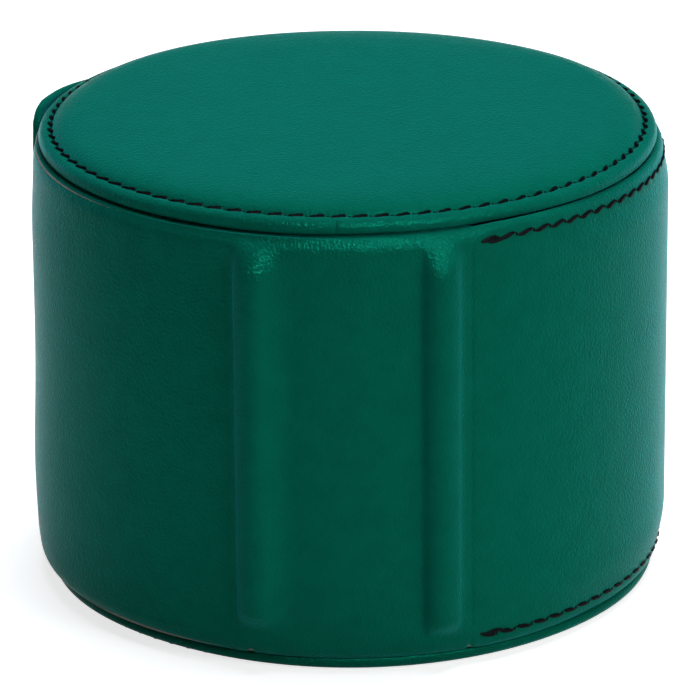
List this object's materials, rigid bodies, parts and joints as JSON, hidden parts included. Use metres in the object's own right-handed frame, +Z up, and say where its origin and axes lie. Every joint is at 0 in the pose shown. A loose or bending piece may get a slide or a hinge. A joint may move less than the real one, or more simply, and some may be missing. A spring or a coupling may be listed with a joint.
{
  "type": "watch roll",
  "caption": "Cylindrical leather roll for a wrist watch: stiff half-drum with round ends, two outer ribs, a long wrap-over flap and a removable inner cushion.",
  "frame": {"origin": "centre of the flat underside, on the drum's axis", "axes": "+Z up along the drum's axis; the two ribs face -Y, one each side of it"},
  "size_m": [0.099, 0.1001, 0.0743],
  "materials": {
    "green_leather": "satin",
    "suede_lining": "matte",
    "cushion_suede": "matte",
    "foam": "matte",
    "board": "matte",
    "rib_cord": "matte",
    "magnet": "satin",
    "steel_plate": "satin"
  },
  "bodies": {
    "drum": {"top_end_cover": "green_leather", "top_end_padding": "foam", "top_end_board": "board", "top_end_lining": "suede_lining", "bottom_end_cover": "green_leather", "bottom_end_board": "board", "bottom_end_lining": "suede_lining", "wall_board": "board", "wall_leather": "green_leather", "wall_lining": "suede_lining", "wall_magnet": "magnet", "left_rib_cord": "rib_cord", "right_rib_cord": "rib_cord"},
    "flap_part_1": {"flap_leather_1": "green_leather", "flap_lining_1": "suede_lining"},
    "flap_part_2": {"flap_leather_2": "green_leather", "flap_lining_2": "suede_lining"},
    "flap_part_3": {"flap_leather_3": "green_leather", "flap_lining_3": "suede_lining"},
    "flap_part_4": {"flap_leather_4": "green_leather", "flap_lining_4": "suede_lining"},
    "flap_part_5": {"flap_leather_5": "green_leather", "flap_lining_5": "suede_lining", "flap_keeper_plate": "steel_plate"},
    "cushion": {"cushion_core": "foam", "cushion_cover": "cushion_suede"}
  },
  "joints": [
    {"name": "flap_root", "type": "hinge", "parent": "drum", "child": "flap_part_1", "pos_m": [0.01818, -0.04607, 0.0361], "axis": [0, 0, -1], "range_deg": [0, 36]},
    {"name": "flap_bend_2", "type": "hinge", "parent": "flap_part_1", "child": "flap_part_2", "pos_m": [0.04619, -0.01767, 0.0361], "axis": [0, 0, -1], "range_deg": [0, 43.3]},
    {"name": "flap_bend_3", "type": "hinge", "parent": "flap_part_2", "child": "flap_part_3", "pos_m": [0.04466, 0.02219, 0.0361], "axis": [0, 0, -1], "range_deg": [0, 43.3]},
    {"name": "flap_bend_4", "type": "hinge", "parent": "flap_part_3", "child": "flap_part_4", "pos_m": [0.01456, 0.04836, 0.0361], "axis": [0, 0, -1], "range_deg": [0, 43.3]},
    {"name": "flap_bend_5", "type": "hinge", "parent": "flap_part_4", "child": "flap_part_5", "pos_m": [-0.02513, 0.04433, 0.0361], "axis": [0, 0, -1], "range_deg": [0, 43.3]},
    {"name": "cushion_lift", "type": "slide", "parent": "drum", "child": "cushion", "axis": [0.8572, 0.515, 0], "range_m": [0, 0.06]}
  ],
  "couplings": [
    {"joint": "flap_bend_2", "follows": "flap_root", "ratio": 1.2},
    {"joint": "flap_bend_3", "follows": "flap_root", "ratio": 1.2},
    {"joint": "flap_bend_4", "follows": "flap_root", "ratio": 1.2},
    {"joint": "flap_bend_5", "follows": "flap_root", "ratio": 1.2},
    {"joint": "cushion_lift", "follows": "flap_root", "m_per_rad": 0.095}
  ]
}
